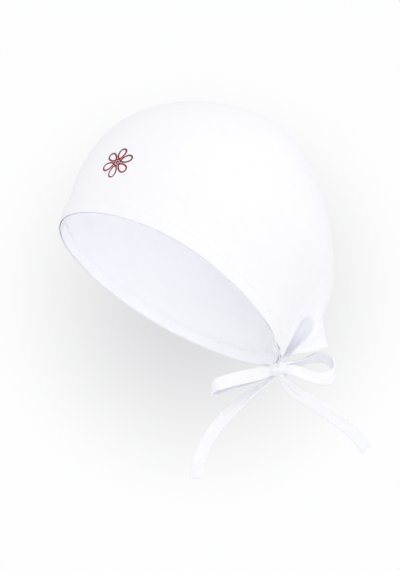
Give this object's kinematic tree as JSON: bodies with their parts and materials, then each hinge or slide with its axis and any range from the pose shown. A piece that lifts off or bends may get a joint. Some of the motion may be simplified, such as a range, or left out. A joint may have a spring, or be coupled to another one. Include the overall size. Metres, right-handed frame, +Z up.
{
  "type": "tie-back scrub cap",
  "caption": "White cotton tie-back scrub cap in its worn form: full pouched crown, sloping hemmed head opening, pleated nape and flat fabric ties in a bow.",
  "frame": {"origin": "middle of the head opening, halfway from the forehead to the nape", "axes": "+Z up, -Y towards the forehead, +Y towards the nape, +X towards the wearer's left"},
  "size_m": [0.1706, 0.2564, 0.3054],
  "materials": {
    "white_cotton": "plain woven cotton, matte",
    "white_cotton_tie": "folded and stitched cotton tie, matte",
    "red_thread": "embroidery thread, soft sheen"
  },
  "bodies": {
    "root": {"crown": "white_cotton", "rim_hem": "white_cotton", "tie_knot": "white_cotton_tie", "bow_loop_front": "white_cotton_tie", "bow_loop_back": "white_cotton_tie", "tie_tail_front": "white_cotton_tie", "tie_tail_back": "white_cotton_tie", "emblem": "red_thread"}
  },
  "joints": []
}
